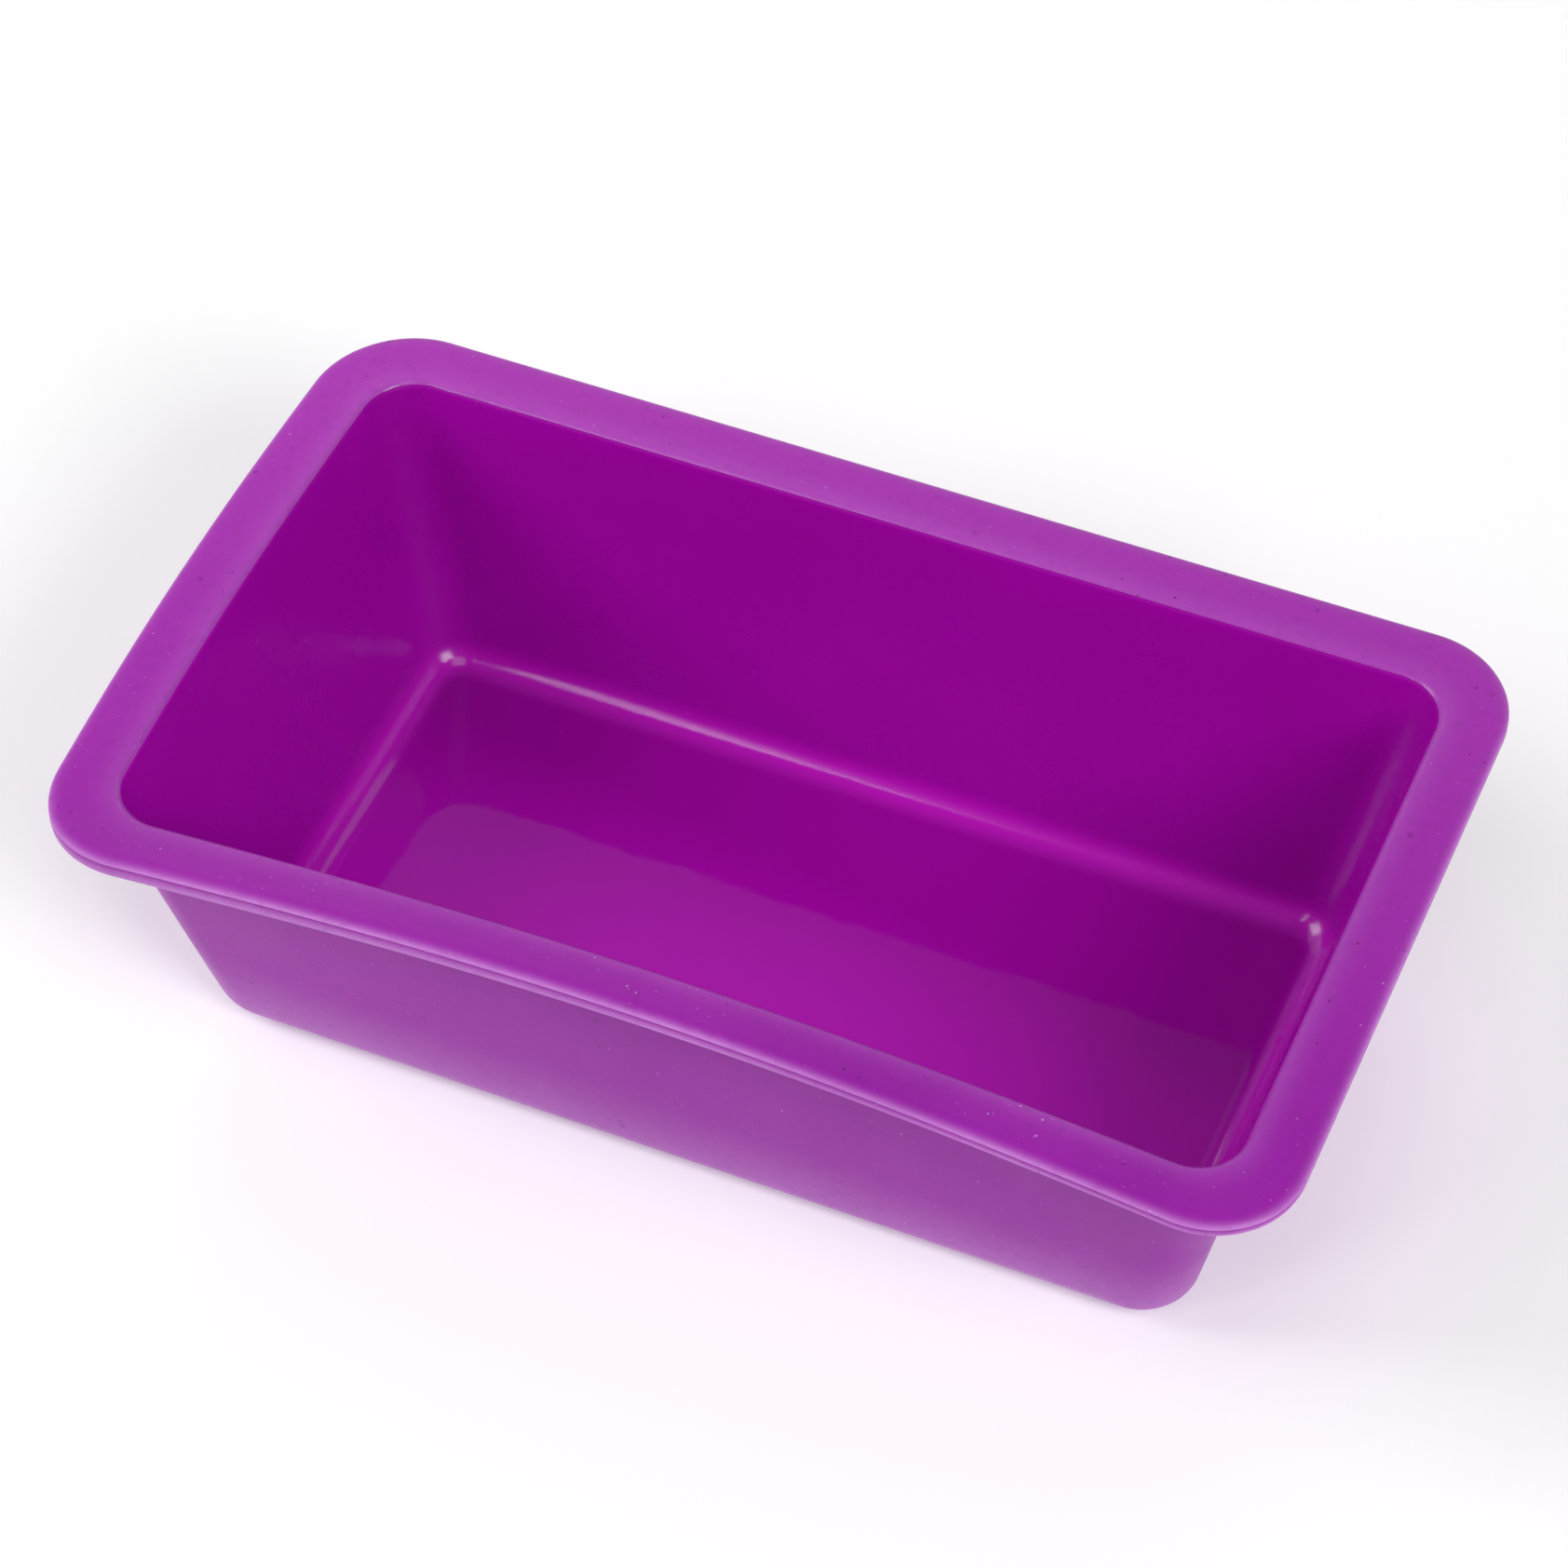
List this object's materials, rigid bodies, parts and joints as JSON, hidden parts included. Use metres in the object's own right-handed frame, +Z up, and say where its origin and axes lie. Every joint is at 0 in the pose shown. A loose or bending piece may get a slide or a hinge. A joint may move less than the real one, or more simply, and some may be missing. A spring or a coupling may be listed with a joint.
{
  "type": "silicone soap mould",
  "caption": "Flexible rectangular loaf mould with tapered walls, rounded corners, an open cavity and a flat flange rim, for casting soap.",
  "frame": {"origin": "centre of the flat base, on the surface that the mould stands on", "axes": "+X along the length, +Y across the width, +Z up out of the open mouth"},
  "size_m": [0.24, 0.143, 0.067],
  "materials": {
    "silicone": "purple silicone rubber, satin on the rim and the outside, glossy in the cavity"
  },
  "bodies": {
    "root": {"mould_body": "silicone"}
  },
  "joints": []
}
